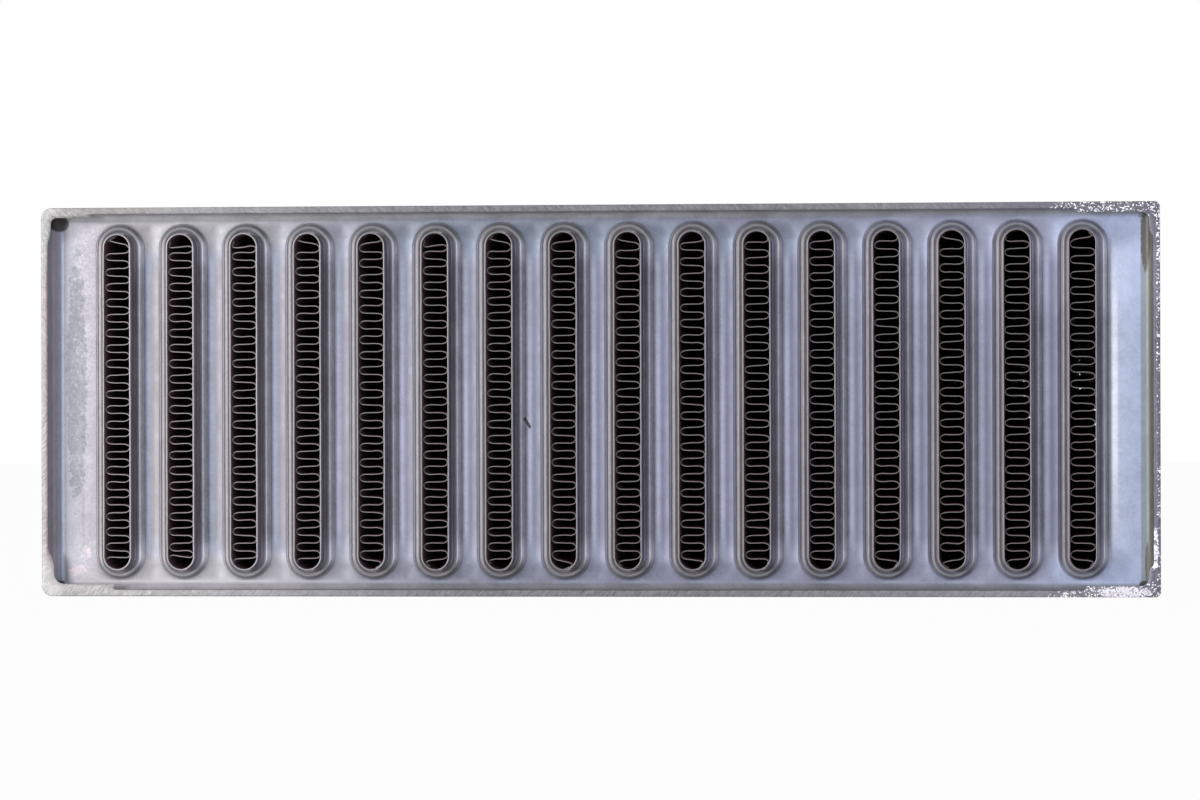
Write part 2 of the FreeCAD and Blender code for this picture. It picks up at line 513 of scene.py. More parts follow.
def close(mesh: bpy.types.Mesh, crease: float = 32.0) -> None:
    """Turns a mesh's faces outwards, and smooths all its edges but the hard ones.

    Args:
        mesh: The mesh.
        crease: The angle in degrees past which an edge is hard.
    """
    work = bmesh.new()
    work.from_mesh(mesh)
    bmesh.ops.recalc_face_normals(work, faces=work.faces)
    if work.calc_volume(signed=True) < 0:
        bmesh.ops.reverse_faces(work, faces=work.faces)
    limit = math.radians(crease)
    for edge in work.edges:
        edge.smooth = len(edge.link_faces) == 2 and edge.calc_face_angle(0.0) < limit
    for face in work.faces:
        face.smooth = True
    open_edges = sum(1 for edge in work.edges if len(edge.link_faces) != 2)
    log.info("%s: %d faces, %d open edges", mesh.name, len(work.faces), open_edges)
    work.to_mesh(mesh)
    work.free()


def keep(piece: bpy.types.Object, node: str) -> None:
    """Puts a piece on the core in place of a solid.

    Args:
        piece: The finished piece.
        node: The solid that it stands for.
    """
    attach(piece, "root")
    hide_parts(node)


def metres(sizes: dict) -> dict:
    """Sizes by name, turned from millimetres into metres."""
    return {name: size * MM for name, size in sizes.items()}


def section_chain(name: str, rows: Sequence[tuple]) -> bpy.types.Object:
    """A section's points as an object.

    Args:
        name: The object's name.
        rows: Outward place and depth in millimetres, and softness.

    Returns:
        The object.
    """
    return chain(name, [(outward * MM, depth * MM, soft) for outward, depth, soft in rows])


def row_x(number: int, count: int) -> float:
    """The middle of one of count pieces that stand in a row along the stack."""
    return (number - (count - 1) / 2) * TUBE_PITCH


def stand(x: float, turn: tuple, finish: bpy.types.Material) -> dict:
    """The settings that every tree has.

    Args:
        x: The piece's place across, in millimetres.
        turn: How it is turned.
        finish: Its material.

    Returns:
        The settings by name.
    """
    return {"Place": (x * MM, 0.0, MIDDLE_Z * MM), "Turn": turn, "Material": finish}


def drop(*helpers: bpy.types.Object) -> None:
    """Removes objects that only trees read.

    Args:
        helpers: The objects.
    """
    for helper in helpers:
        mesh = helper.data
        bpy.data.objects.remove(helper)
        bpy.data.meshes.remove(mesh)


def arc(centre: tuple, reach: tuple, start: float, end: float, steps: int) -> list:
    """Points along part of an ellipse.

    Args:
        centre: Its centre.
        reach: Its two half axes.
        start: The first angle in degrees.
        end: The last angle in degrees.
        steps: How many steps between them.

    Returns:
        The points.
    """
    turns = [math.radians(start + (end - start) * i / steps) for i in range(steps + 1)]
    return [(centre[0] + reach[0] * math.cos(t), centre[1] + reach[1] * math.sin(t)) for t in turns]


# ---- Finishes


class Paint(Graph):
    """A material's node tree, with the place on the piece in millimetres."""

    def __init__(self, name: str) -> None:
        """Makes the material and reads the place.

        Args:
            name: The material's name.
        """
        self.material = bpy.data.materials.new(name)
        self.material.use_nodes = True
        super().__init__(self.material.node_tree)
        self.place = self.scaled(self.node("ShaderNodeTexCoord", {}, {}, "Object"), 1.0 / MM)
        self.x, self.y, self.z = self.split(self.place)

    def scaled(self, vector: Any, share: Any) -> Value:
        """A colour or a place times a number."""
        return self.node("ShaderNodeVectorMath", {"operation": "SCALE"}, {0: vector, "Scale": share})

    def noise(self, scale: float, detail: float, rough: float, place: Any = None) -> Value:
        """Noise between 0 and 1.

        Args:
            scale: How many spots there are to a millimetre.
            detail: How many finer layers it has.
            rough: How strong the finer layers are.
            place: Where it is read, if not at the place on the piece.

        Returns:
            The noise.
        """
        place = self.place if place is None else place
        inputs = {"Vector": place, "Scale": scale, "Detail": detail, "Roughness": rough}
        return self.node("ShaderNodeTexNoise", {}, inputs)

    def mix(self, share: Any, first: Any, second: Any) -> Value:
        """Two colours mixed."""
        first, second = ((*one, 1.0) if isinstance(one, tuple) else one for one in (first, second))
        return self.node("ShaderNodeMix", {"data_type": "RGBA"}, {"Factor": share, 6: first, 7: second}, 2)

    def dressed(self, colour: Value, roughness: Value, metallic: Any, height: Value, bump: tuple) -> bpy.types.Material:
        """Sets the shader.

        Args:
            colour: The base colour.
            roughness: The roughness.
            metallic: How metallic it is.
            height: The height of the surface's grain.
            bump: The millimetres that a height of 1 stands for, and the strength.

        Returns:
            The material.
        """
        shader = self.tree.nodes["Principled BSDF"]
        inputs = {"Height": height, "Distance": bump[0] * MM, "Strength": bump[1]}
        normal = self.node("ShaderNodeBump", {}, inputs)
        given = {"Base Color": colour, "Roughness": roughness, "Metallic": metallic, "Normal": normal}
        for name, value in given.items():
            self.put(shader.inputs[name], value)
        return self.material


@dataclass(frozen=True)
class Spot:
    """A mark on the front header, in millimetres across and up."""

    x: float
    z: float
    wide: float
    high: float

    def mask(self, paint: Paint, ragged: Value, edge: float) -> Value:
        """Where the mark is, with a ragged edge.

        Args:
            paint: The material's tree.
            ragged: Noise about 0 that breaks the edge.
            edge: How soft the edge is.

        Returns:
            1 inside the mark.
        """
        across = ((paint.x - self.x) / self.wide).power(2.0)
        up = ((paint.z - self.z) / self.high).power(2.0)
        return (across + up + ragged).fall(1.0 - edge, 1.0 + edge)


@dataclass(frozen=True)
class Finish:
    """Common parts of every metal finish."""

    name: str
    colour: tuple
    roughness: float
    metallic: float


@dataclass(frozen=True)
class PlateFinish(Finish):
    """Brazed sheet of the header plates: pale mottled floor, darker presswork, ground rim.

    A tone whose name starts with cool belongs to the right end of the plate. On a collar, away is the side that faces
    right and facing is the side that faces left, and the tones of both sides are painted light and shade.
    """

    marked: bool = True
    cool: tuple = (0.115, 0.125, 0.185)
    gleam: tuple = (0.265, 0.295, 0.385)
    cool_gleam: tuple = (0.32, 0.34, 0.46)
    low_gleam: tuple = (0.40, 0.40, 0.56)
    left_corner: tuple = (0.285, 0.275, 0.29)
    top_shade: tuple = (0.115, 0.155, 0.21)
    left_far: tuple = (0.245, 0.25, 0.28)
    left_near: tuple = (0.25, 0.24, 0.27)
    right_near: tuple = (0.42, 0.465, 0.62)
    right_far: tuple = (0.32, 0.365, 0.52)
    right_foot_shadow: tuple = (0.24, 0.245, 0.30)
    glare: tuple = (0.75, 0.79, 0.89)
    bend_foot_light: tuple = (0.40, 0.45, 0.60)
    left_wall: tuple = (0.24, 0.235, 0.30)
    left_wall_top: tuple = (0.40, 0.385, 0.43)
    right_wall: tuple = (0.20, 0.235, 0.29)
    olive: tuple = (0.155, 0.157, 0.14)
    top_wall: tuple = (0.52, 0.525, 0.55)
    bottom_wall: tuple = (0.33, 0.32, 0.345)
    level_wall_shade: tuple = (0.05, 0.06, 0.09)
    away_groove: tuple = (0.54, 0.54, 0.68)
    cool_away_groove: tuple = (0.68, 0.71, 0.95)
    away_crest: tuple = (0.29, 0.30, 0.34)
    cool_away_crest: tuple = (0.24, 0.245, 0.34)
    away_flank: tuple = (0.84, 0.85, 0.94)
    away_foot: tuple = (0.74, 0.74, 0.84)
    facing_groove: tuple = (0.42, 0.40, 0.43)
    facing_crest: tuple = (0.45, 0.43, 0.46)
    facing_flank: tuple = (0.22, 0.21, 0.225)
    cool_facing_flank: tuple = (0.11, 0.11, 0.14)
    facing_foot: tuple = (0.95, 0.89, 0.92)
    cool_facing_foot: tuple = (0.20, 0.20, 0.25)
    collar_end: tuple = (0.285, 0.28, 0.305)
    cool_end: tuple = (0.20, 0.20, 0.255)
    end_crest: tuple = (0.2, 0.2, 0.22)
    left_end: tuple = (0.19, 0.187, 0.21)
    end_foot: tuple = (0.52, 0.53, 0.57)
    ground: tuple = (0.215, 0.21, 0.21)
    cool_ground: tuple = (0.18, 0.18, 0.20)
    right_ground: tuple = (0.12, 0.115, 0.155)
    left_ground: tuple = (0.30, 0.295, 0.295)
    red_ground: tuple = (0.19, 0.11, 0.12)
    glint: tuple = (0.95, 0.93, 1.0)
    dull_mark: tuple = (0.148, 0.153, 0.178)
    pale_mark: tuple = (0.40, 0.345, 0.385)
    hatch_glint: tuple = (0.40, 0.385, 0.39)
    glint_patch: tuple = (0.80, 0.77, 0.88)
    shade_mark: tuple = (0.062, 0.056, 0.045)
    pocket_shadow_and_scratch: tuple = (0.022, 0.018, 0.016)
    dull_marks: tuple = ()
    pale_marks: tuple = ()
    hatch_glints: tuple = ()
    glint_patches: tuple = ()
    shades: tuple = ()
    shadow_pockets_and_scratches: tuple = ()

    def make(self) -> bpy.types.Material:
        """Builds the finish."""
        return PlatePaint(self).build()


class PlatePaint(Paint):
    """A header plate's finish, zone by zone."""

    def __init__(self, tones: PlateFinish) -> None:
        """Works out where each zone of the plate is, and the noises that several zones share.

        Args:
            tones: The finish, with the tone of each zone.
        """
        super().__init__(tones.name)
        self.tones = tones
        self.depth = abs(self.y)
        self.level = abs(self.z - MIDDLE_Z)
        self.upper = self.z > MIDDLE_Z
        self.cool = self.x.rise(-150.0, 150.0)
        self.left = self.x.fall(-110.0, -30.0)
        strip = (self.x + TUBE_PITCH * TUBE_COUNT / 2) % TUBE_PITCH
        self.strip = strip - TUBE_PITCH * (strip > TUBE_PITCH / 2)
        beyond = (self.level - (TUBE_HALF_HEIGHT - TUBE_HALF_WIDTH)).most(0.0)
        aside = TUBE_PITCH / 2 - abs(self.strip)
        self.out = (aside.power(2.0) + beyond.power(2.0)).power(0.5) - TUBE_HALF_WIDTH
        self.edge_gap = (self.x - FLOOR_RIGHT).most(FLOOR_LEFT - self.x).most(self.level - FLOOR_HALF_HEIGHT)
        rim = self.edge_gap.rise(-0.15, 0.2)
        self.collar = self.depth.rise(FLOOR_Y + 0.02, FLOOR_Y + 0.5) * (1.0 - rim) * (self.depth < COLLAR_TOP_Y)
        self.ends = self.collar * beyond.rise(-0.1, 4.2) * (abs(self.x) < COLLARS_END + 1.0)
        self.land = self.depth.rise(RIM_Y - 0.25, RIM_Y - 0.1)
        self.wall = rim * (1.0 - self.land)
        self.between_sides = abs(self.x) < 150.5
        self.level_side = (self.level - FLOOR_HALF_HEIGHT).rise(0.1, 2.0) * self.between_sides
        self.mottle = self.noise(0.11, 4.0, 0.6) - 0.5
        self.grain = self.noise(1.3, 4.0, 0.65)
        self.lumps = self.noise(0.45, 3.0, 0.7) - 0.5
        lean = self.upper * 1.7 - 0.85
        hatch = self.vector(self.x + self.z * lean, self.y, self.z * 0.25 - self.x * lean * 0.25)
        self.saw = self.noise(1.6, 3.0, 0.7, hatch)
        cells = self.node("ShaderNodeTexVoronoi", {"feature": "F1"}, {"Vector": self.place, "Scale": 3.1}, "Color")
        self.sparkle = self.split(cells)[0]
        outer = self.edge_gap.rise(4.1, 4.6)
        corner = (self.level - 49.0).rise(0.0, 3.0)
        self.right = self.x.rise(122.0, 132.0) * corner.most(outer * (0.55 + self.z.rise(76.0, 86.0) * 0.45))

    def floor(self) -> Value:
        """The flat floor: a lit and a dull side in each gap, and the margins outside the end tubes.

        Returns:
            The floor's tone.
        """
        x, z, level, strip, tones = self.x, self.z, self.level, self.strip, self.tones
        lit = self.mix(self.cool, tones.gleam, tones.cool_gleam)
        low = strip.near(-1.0, 0.35, 0.9) * x.near(0.0, 50.0, 110.0) * z.fall(55.0, 85.0) * z.rise(10.0, 25.0)
        lit = self.mix(low * 0.7, lit, tones.low_gleam)
        dull = self.mix(x.rise(-170.0, 30.0), tones.colour, tones.cool)
        aside = abs(strip).rise(4.5, 8.5).most(level.rise(36.0, 46.0) * 0.85)
        share = strip.rise(-1.2, 0.5)
        floor = self.mix(share + (0.4 - share) * aside, lit, dull)
        floor = self.mix(level.rise(40.0, 46.0) * self.left * 0.8, floor, tones.left_corner)
        # Painted shade: a darker teal band along the top of the middle gaps, near the rim.
        top_shade = z.band(93.0, 98.0, 102.0, 105.0) * x.near(0.0, 30.0, 110.0) * 0.55
        floor = self.mix(top_shade, floor, tones.top_shade)
        left_side = self.mix(x.rise(-152.0, -142.0), tones.left_far, tones.left_near)
        far_end = level.rise(38.0, 46.0)
        right_side = self.mix(x.rise(144.8, 151.0).most(far_end), tones.right_near, tones.right_far)
        # Painted shadow: a darker strip on the margin just right of the last collar's foot.
        shadow = x.rise(COLLARS_END + 0.2, COLLARS_END + 1.3).most(far_end)
        right_side = self.mix(shadow, tones.right_foot_shadow, right_side)
        glare = x.band(142.6, 143.4, 143.9, 145.2) * level.fall(10.0, 46.0)
        right_side = self.mix(glare, right_side, tones.glare)
        beside = abs(x).rise(COLLARS_END - 1.0, COLLARS_END)
        beside = beside.most(level.rise(40.0, 47.0) * abs(x).rise(118.0, 138.0))
        floor = self.mix(beside, floor, self.mix(self.cool > 0.5, left_side, right_side))
        # Painted highlight: a pale blue line along the foot of the left bend.
        bend_foot_light = (x - FLOOR_LEFT).band(-0.1, 0.1, 0.7, 1.1) * (level < FLOOR_HALF_HEIGHT)
        return self.mix(bend_foot_light, floor, tones.bend_foot_light)

    def shade(self) -> Value:
        """How much lighter or darker each place is, apart from its tone.

        Returns:
            The share of its tone that each place keeps.
        """
        x, z, level, strip = self.x, self.z, self.level, self.strip
        patch = self.noise(0.2, 5.0, 0.72).rise(0.42, 0.6) - 0.5
        shade = self.mottle * 0.4 + (self.grain - 0.5) * 0.45 + patch * 0.1 + 1.0
        shade = shade - level.rise(43.0, 47.5) * x.near(0.0, 30.0, 120.0) * 0.3
        shade = shade + level.band(20.0, 32.0, 40.0, 46.0) * x.rise(40.0, 110.0) * self.upper * 0.22
        shade = shade + z.fall(6.0, 18.0) * self.left * 0.25
        # Painted shade: the floor darkens beside the right foot of each collar, where the collar's shadow falls.
        straight = level.fall(36.0, 43.0)
        foot = abs(strip).rise(1.3, 2.3) * (strip < 0.0) * (abs(x) < COLLARS_END)
        shade = shade - (strip.near(-1.8, 0.2, 0.6) * 0.12 + foot * 0.38) * straight
        return shade + (self.saw - 0.5) * self.land * 1.5

    def walls(self, floor: Value) -> Value:
        """The inner faces of the rim, toned with painted light and shade.

        Args:
            floor: The floor's tone, which runs up into the fold.

        Returns:
            The walls' tone.
        """
        tones = self.tones
        left_wall = self.mix(self.edge_gap.rise(1.3, 1.9), tones.left_wall, tones.left_wall_top)
        inner = self.mix(self.cool, left_wall, tones.right_wall)
        inner = self.mix(self.edge_gap.rise(0.9, 2.1) * self.cool, inner, tones.olive)
        level_wall = self.mix(self.z.rise(40.0, 60.0), tones.bottom_wall, tones.top_wall)
        # Painted shade: the top and bottom walls darken towards the right.
        level_wall = self.mix(self.x.rise(20.0, 110.0) * 0.45, level_wall, tones.level_wall_shade)
        inner = self.mix((self.level > FLOOR_HALF_HEIGHT - 0.3) * self.between_sides, inner, floor)
        return self.mix(self.level_side, inner, level_wall)

    def collars(self) -> Value:
        """The collars, in rings about each tube: groove, crest, flank and foot, toned with painted light and shade.

        Returns:
            The collars' tone.
        """
        tones, out = self.tones, self.out
        # Painted light and shade: the sides that face and turn from the left light, and the ends' crest and foot rings,
        # get their own tones.
        crest, flank, foot = out.rise(1.0, 1.25), out.rise(1.6, 1.8), out.rise(2.2, 2.4)
        away = self.mix(self.cool, tones.away_groove, tones.cool_away_groove)
        away = self.mix(crest, away, self.mix(self.cool, tones.away_crest, tones.cool_away_crest))
        away = self.mix(foot, self.mix(flank, away, tones.away_flank), tones.away_foot)
        facing = self.mix(crest, tones.facing_groove, tones.facing_crest)
        facing_flank = self.mix(self.cool, tones.facing_flank, tones.cool_facing_flank)
        facing = self.mix(out.rise(1.35, 1.5), facing, facing_flank)
        facing_foot = self.mix(self.cool.power(0.5), tones.facing_foot, tones.cool_facing_foot)
        facing = self.mix(foot, facing, facing_foot)
        end = self.mix(self.x.rise(0.0, 120.0), tones.collar_end, tones.cool_end)
        end = self.mix(crest * (1.0 - flank) * 0.4, end, tones.end_crest)
        end = self.mix(self.left * 0.8, end, tones.left_end)
        middle = (1.0 - self.left) * (1.0 - self.x.rise(60.0, 130.0) * 0.5)
        end = self.mix(foot * middle * 0.55, end, tones.end_foot)
        return self.mix(self.ends, self.mix(self.strip > 0.0, away, facing), end)

    def ground(self) -> Value:
        """The ground top of the rim, with its glints at the right.

        Returns:
            The ground top's tone.
        """
        x, z, tones = self.x, self.z, self.tones
        ground = self.mix(x.rise(-145.0, -60.0), tones.ground, tones.cool_ground)
        dark = x.rise(150.0, 153.0).most(x.rise(70.0, 130.0) * self.upper * 0.8)
        ground = self.mix(dark, ground, tones.right_ground)
        ground = self.mix(x.fall(-154.0, -148.0), ground, tones.left_ground)
        red = self.edge_gap.fall(2.5, 3.3) * (x < -150.0) * z.band(6.0, 14.0, 88.0, 100.0) * 0.85
        ground = self.mix(red, ground, tones.red_ground)
        glint = (self.sparkle + self.lumps * 1.2 + (self.right - 1.0) * 0.3).rise(0.72, 0.84)
        glint = glint * self.right.rise(0.1, 0.3) * self.land * float(tones.marked)
        return self.mix(glint, ground, tones.glint)

    def marks(self, colour: Value) -> Value:
        """Stains and scratches of the front plate, with its painted glints, painted shade and painted corner shadows.

        Args:
            colour: The plate without them.

        Returns:
            The plate with them.
        """
        tones = self.tones
        ragged = (self.grain - 0.5) * 1.6 + self.mottle * 1.2
        on_floor = (self.depth < FLOOR_Y + 0.15) * (self.depth > FLOOR_Y - 0.3)
        whole = 1.0 - self.noise(0.9, 3.0, 0.6).rise(0.6, 0.66)
        glint_grain = (self.sparkle + self.grain * 0.6).rise(0.4, 0.6) * 0.7 + 0.3
        inside = self.depth.fall(RIM_Y - 0.7, RIM_Y - 0.2) * (self.y < 0.0)
        kinds = (
            (tones.dull_marks, self.lumps * 2.6, 0.05, on_floor * whole * 0.8, tones.dull_mark),
            (tones.pale_marks, ragged + self.lumps * 4.0, 0.1, on_floor * 0.85, tones.pale_mark),
            # Saw hatch on the ground rim, whitened as painted glints.
            (tones.hatch_glints, ragged, 0.25, self.land * self.saw.rise(0.48, 0.56) * 0.55, tones.hatch_glint),
            # Painted highlights: pale glint patches on the ground rim.
            (tones.glint_patches, ragged * 1.5 + self.lumps * 6.0, 0.1, self.land * glint_grain * 0.85, tones.glint_patch),
            (tones.shades, ragged * 0.8, 0.25, inside * 0.85, tones.shade_mark),
            # Painted shadow in the dark pockets at the rim's corners, and a dark scratch on the floor, in one tone.
            (tones.shadow_pockets_and_scratches, ragged * 0.5, 0.25, inside * 0.93, tones.pocket_shadow_and_scratch),
        )
        for spots, noise, edge, strength, tone in kinds:
            for spot in spots:
                colour = self.mix(spot.mask(self, noise, edge) * strength, colour, tone)
        return colour

    def build(self) -> bpy.types.Material:
        """Puts the zones together.

        Returns:
            The material.
        """
        floor = self.floor()
        colour = self.mix(self.collar, floor, self.collars())
        colour = self.mix(self.wall * (self.depth > FLOOR_Y - 0.8), colour, self.walls(floor))
        colour = self.scaled(self.mix(self.land, colour, self.ground()), self.shade())
        if self.tones.marked:
            colour = self.marks(colour)
        roughness = (self.grain - 0.5) * 0.3 + self.mottle * 0.2 + self.tones.roughness
        metallic = (1.0 - self.ends) * (1.0 - self.level_side * self.wall) * self.tones.metallic
        ground = self.saw * 0.12 + self.sparkle * self.right * 0.3
        height = self.grain * (0.02 + self.land * 0.03) + ground * self.land
        return self.dressed(colour, roughness, metallic, height, (1.0, 0.8))


@dataclass(frozen=True)
class EdgeFinish(Finish):
    """Thin drawn or folded strip, bright at its cut ends and dark inside in painted shade of the unlit passages."""

    inside: tuple = (0.26, 0.155, 0.195)
    lit_depth: float = 124.5
    dark_depth: float = 127.0
    fading: float = 0.4
    only_within: bool = False

    def make(self) -> bpy.types.Material:
        """Builds the finish.

        Returns:
            The material.
        """
        paint = Paint(self.name)
        grain = paint.noise(1.1, 3.0, 0.6)
        shade = ((grain - 0.5) * 0.7 + 1.0) * (1.0 - paint.x.rise(-140.0, -10.0) * self.fading)
        # Painted shade: the tone turns dark with depth into the passages.
        deep = abs(paint.y).fall(self.lit_depth, self.dark_depth)
        if self.only_within:
            cell = (paint.x + TUBE_PITCH * TUBE_COUNT / 2) % TUBE_PITCH - TUBE_PITCH / 2
            beyond = (abs(paint.z - MIDDLE_Z) - (TUBE_HALF_HEIGHT - TUBE_HALF_WIDTH)).most(0.0)
            apart = (abs(cell).power(2.0) + beyond.power(2.0)).power(0.5)
            deep = deep * apart.fall(TUBE_HALF_WIDTH - 0.36, TUBE_HALF_WIDTH - 0.22)
        colour = paint.mix(deep, paint.scaled(self.colour, shade), self.inside)
        roughness = (grain - 0.5) * 0.2 + self.roughness
        return paint.dressed(colour, roughness, self.metallic * (1.0 - deep), grain, (0.03, 1.0))


@dataclass(frozen=True)
class SheetFinish(Finish):
    """Plain rolled aluminium sheet, faintly brushed along one way."""

    def make(self) -> bpy.types.Material:
        """Builds the finish.

        Returns:
            The material.
        """
        paint = Paint(self.name)
        brushed = paint.noise(1.0, 3.0, 0.6, paint.vector(paint.x * 3.0, paint.y * 0.05, paint.z * 3.0)) - 0.5
        shade = brushed * 0.16 + (paint.noise(0.06, 3.0, 0.5) - 0.5) * 0.3 + 1.0
        roughness = brushed * 0.2 + self.roughness
        return paint.dressed(paint.scaled(self.colour, shade), roughness, self.metallic, brushed, (0.02, 1.0))


# ---- Sub-assemblies


@dataclass(frozen=True)
class Weld:
    """A weld that fills in a corner of the front rim, in millimetres across and up."""

    x: float
    z: float
    reach_x: float
    reach_z: float
    amount: float

    def fill(self, x: float, z: float, level_side: bool) -> float:
        """How far the weld fills in the rim.

        Args:
            x: The place on the rim, across.
            z: The place on the rim, up.
            level_side: Whether the place is on one of the rim's two long sides.

        Returns:
            The distance in millimetres.
        """
        near = max(0.0, 1.0 - math.hypot((x - self.x) / self.reach_x, (z - self.z) / self.reach_z))
        return self.amount * (min(1.0, near * 5.0) if level_side else near * (2.0 - near))


@dataclass
class HeaderPlates:
    """The two folded trays at the ends of the tubes."""

    tree: ShapeTree
    half_width: float = 154.5
    half_height: float = 52.7
    sheet: float = 1.8
    bend: float = 2.4
    corner: float = 0.7
    edge: float = 0.18
    uneven: float = 0.16
    even_fill: float = 0.12
    left_rounder: float = 0.5
    right_rounder: float = -0.9
    long_steps: int = 190
    short_steps: int = 66
    side_spread: float = 0.06
    end_spread: float = -0.15
    welds: tuple = ()
    finishes: dict = field(default_factory=dict)

    def rim_section(self) -> list:
        """The rim's section from the tray's floor over its land to its back.

        Returns:
            Points of outward place, depth and softness.
        """
        hub = FLOOR_Y + self.bend
        top = RIM_Y - self.edge
        edge = (self.edge, self.edge)
        inner, outer = self.bend, self.bend + self.sheet
        points = [(*p, 0.0) for p in arc((-self.bend, hub), (inner, inner), -90.0, 0.0, 10)]
        for step in range(1, 7):
            share = step / 6
            points.append((0.0, hub + (top - hub) * share, max(0.0, share * 1.5 - 0.5) ** 0.6))
        points += [(*p, 1.0 - 0.2 * i) for i, p in enumerate(arc((self.edge, top), edge, 180.0, 90.0, 3))]
        points += [(self.sheet / 3, RIM_Y, 0.2), (self.sheet * 2 / 3, RIM_Y, 0.0)]
        points += [(*p, 0.0) for p in arc((self.sheet - self.edge, top), edge, 90.0, 0.0, 3)]
        points += [(self.sheet, hub + 2.0, 0.0), (self.sheet, hub + 0.8, 0.0)]
        points += [(*p, 0.0) for p in arc((-self.bend, hub), (outer, outer), 0.0, -90.0, 10)]
        return points

    def collar_section(self) -> list:
        """A collar's section from the back of the floor, through its bore and over its crest, to its foot.

        Returns:
            Points of outward place, depth and softness.
        """
        bell = [(*p, 0.0) for p in arc((1.95, 122.4), (1.9, 2.4), 270.0, 180.0, 8)]
        groove = [(0.06, 123.1), (0.28, 123.14), (0.48, 123.26), (0.68, 123.5), (0.86, 123.74), (1.04, 123.91)]
        crest = [(1.22, 123.99), (1.45, 124.0), (1.7, 123.99)]
        flank = [(1.88, 123.9), (2.02, 123.7), (2.15, 123.4), (2.27, 123.04), (2.4, 122.66)]
        foot = [(2.53, 122.32), (2.67, 122.06), (2.82, 121.89), (3.0, FLOOR_Y)]
        front = groove + crest + flank + foot
        return bell + [(outward, depth, 0.5 if 0.3 < outward < 2.5 else 0.0) for outward, depth in front]

    def rim_path(self, side: Side) -> tuple:
        """The points round the rim.

        Args:
            side: The end of the core.

        Returns:
            The points, how far the weld fills in at each, and how much rounder each corner is.
        """
        corners = ((1, 1), (-1, 1), (-1, -1), (1, -1))
        points, weld, rounder = [], [], []
        for number, (sign_x, sign_z) in enumerate(corners):
            for step in range(CORNER_STEPS + 1):
                turn = math.radians(90.0 * number + 90.0 * step / CORNER_STEPS)
                points.append((sign_x, turn, sign_z))
                rounder.append((self.left_rounder if sign_x < 0 else self.right_rounder) * MM)
            next_x, next_z = corners[(number + 1) % 4]
            turn = math.radians(90.0 * (number + 1))
            steps = self.long_steps if sign_z == next_z else self.short_steps
            for step in range(1, steps):
                share = step / steps
                ends = (3 * share * share - 2 * share ** 3 + share) / 2
                points.append((sign_x + (next_x - sign_x) * ends, turn, sign_z + (next_z - sign_z) * ends))
                rounder.append(0.0)
        points.append((1, 0.0, 1))
        rounder.append(rounder[0])
        welds = self.welds if side is Side.FRONT else ()
        for sign_x, _, sign_z in points:
            x, z = sign_x * self.half_width, MIDDLE_Z + sign_z * self.half_height
            level_side = abs(sign_z) == 1 and abs(sign_x) < 1
            weld.append(max([self.even_fill, *(one.fill(x, z, level_side) for one in welds)]) * MM)
        return points, weld, rounder

    def collar_path(self) -> tuple:
        """The way round a slot-shaped outline.

        Returns:
            Its points, and how far a collar's flank spreads at each.
        """
        points = []
        for number, (sign_x, sign_z) in enumerate(((1, 1), (-1, 1), (-1, -1), (1, -1))):
            turns = [math.radians(90.0 * (number + step / CORNER_STEPS)) for step in range(CORNER_STEPS + 1)]
            points += [(sign_x, turn, sign_z) for turn in turns]
            if number in (1, 3):
                turn = math.radians(90.0 * (number + 1))
                points += [(sign_x, turn, sign_z - 2 * sign_z * step / 24) for step in range(1, 24)]
        points.append((1, 0.0, 1))
        wider = self.end_spread - self.side_spread
        return points, [self.side_spread + wider * math.sin(turn) ** 2 for _, turn, _ in points]

    def build(self) -> None:
        """Builds both headers."""
        section = section_chain("rim_section", self.rim_section())
        collar_section = section_chain("collar_section", self.collar_section())
        path, spread = self.collar_path()
        flat = [0.0] * len(path)
        collar_path = chain("collar_path", path, weld=flat, corner=flat, spread=spread)
        sizes = {
            "Half Width": self.half_width, "Half Height": self.half_height, "Corner": self.corner,
            "Uneven": self.uneven, "Pitch": TUBE_PITCH, "Floor Depth": FLOOR_Y, "Back Depth": BACK_Y,
            "Tube Half Width": TUBE_HALF_WIDTH, "Tube Half Height": TUBE_HALF_HEIGHT,
        }
        for side in Side:
            points, weld, rounder = self.rim_path(side)
            start = chain("rim_path", points, weld=weld, corner=rounder, spread=[0.0] * len(points))
            name = "front_header" if side is Side.FRONT else "rear_header"
            turn = (math.radians(90.0), 0.0, 0.0 if side is Side.FRONT else math.pi)
            settings = {
                **metres(sizes), **stand(0.0, turn, self.finishes[side]), "Seed": 3.0 + side.value,
                "Rim Section": section, "Collar Path": collar_path, "Collar Section": collar_section,
                "Count": TUBE_COUNT,
            }
            keep(grown(start, name + "_plate", self.tree, settings), name)
        drop(section, collar_section, collar_path)


